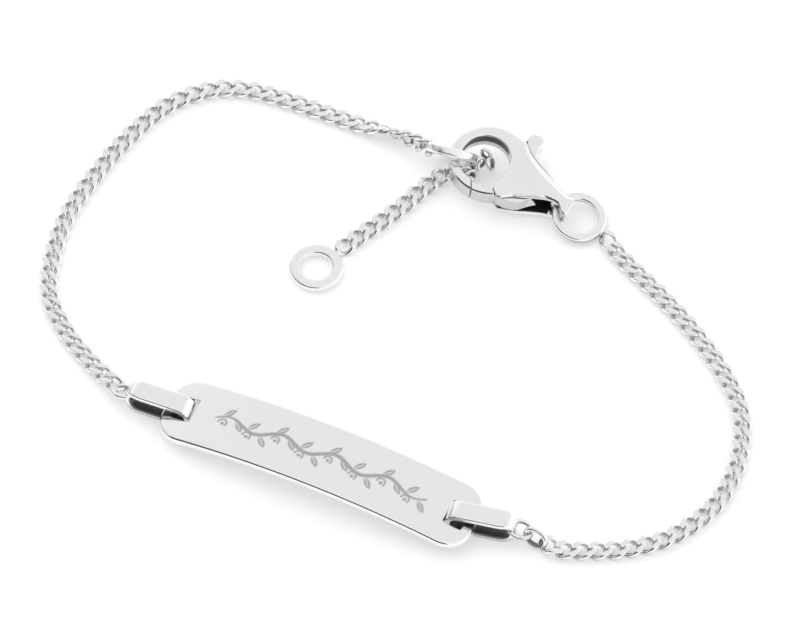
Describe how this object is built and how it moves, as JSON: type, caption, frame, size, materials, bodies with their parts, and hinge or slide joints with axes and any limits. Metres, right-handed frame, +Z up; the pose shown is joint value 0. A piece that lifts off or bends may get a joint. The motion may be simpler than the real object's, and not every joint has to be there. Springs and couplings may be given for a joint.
{
  "type": "name bracelet",
  "caption": "Identity bracelet lying closed: an arched plate on fine curb chain, with folded connectors, a lobster clasp whose lever opens, wire rings and a short extension chain.",
  "frame": {"origin": "middle of the lying bracelet's outline, on the surface that it lies on", "axes": "+X to the right along the loop's longer extent, +Y away from the plate towards the clasp, +Z up"},
  "size_m": [0.0593, 0.0482, 0.0041],
  "materials": {
    "polished_silver": "polished silver with fine wiping marks",
    "chain_silver": "polished silver links, darker between the links",
    "ring_silver": "polished silver wire",
    "clasp_silver": "polished cast silver with softened edges"
  },
  "bodies": {
    "bracelet": {"plate": "polished_silver", "left_connector": "polished_silver", "right_connector": "polished_silver", "left_chain": "chain_silver", "right_chain": "chain_silver", "extension_chain": "chain_silver", "hook_ring": "ring_silver", "clasp_body": "clasp_silver", "clasp_ring": "ring_silver", "end_ring": "polished_silver"},
    "lever": {"clasp_lever": "clasp_silver"}
  },
  "joints": [
    {"name": "lever_hinge", "type": "hinge", "parent": "bracelet", "child": "lever", "pos_m": [0.00997, 0.01188, 0.00156], "axis": [-0.0795, 0.0536, -0.9954], "range_deg": [0, 34], "stiffness_Nm_per_rad": 0.002}
  ]
}
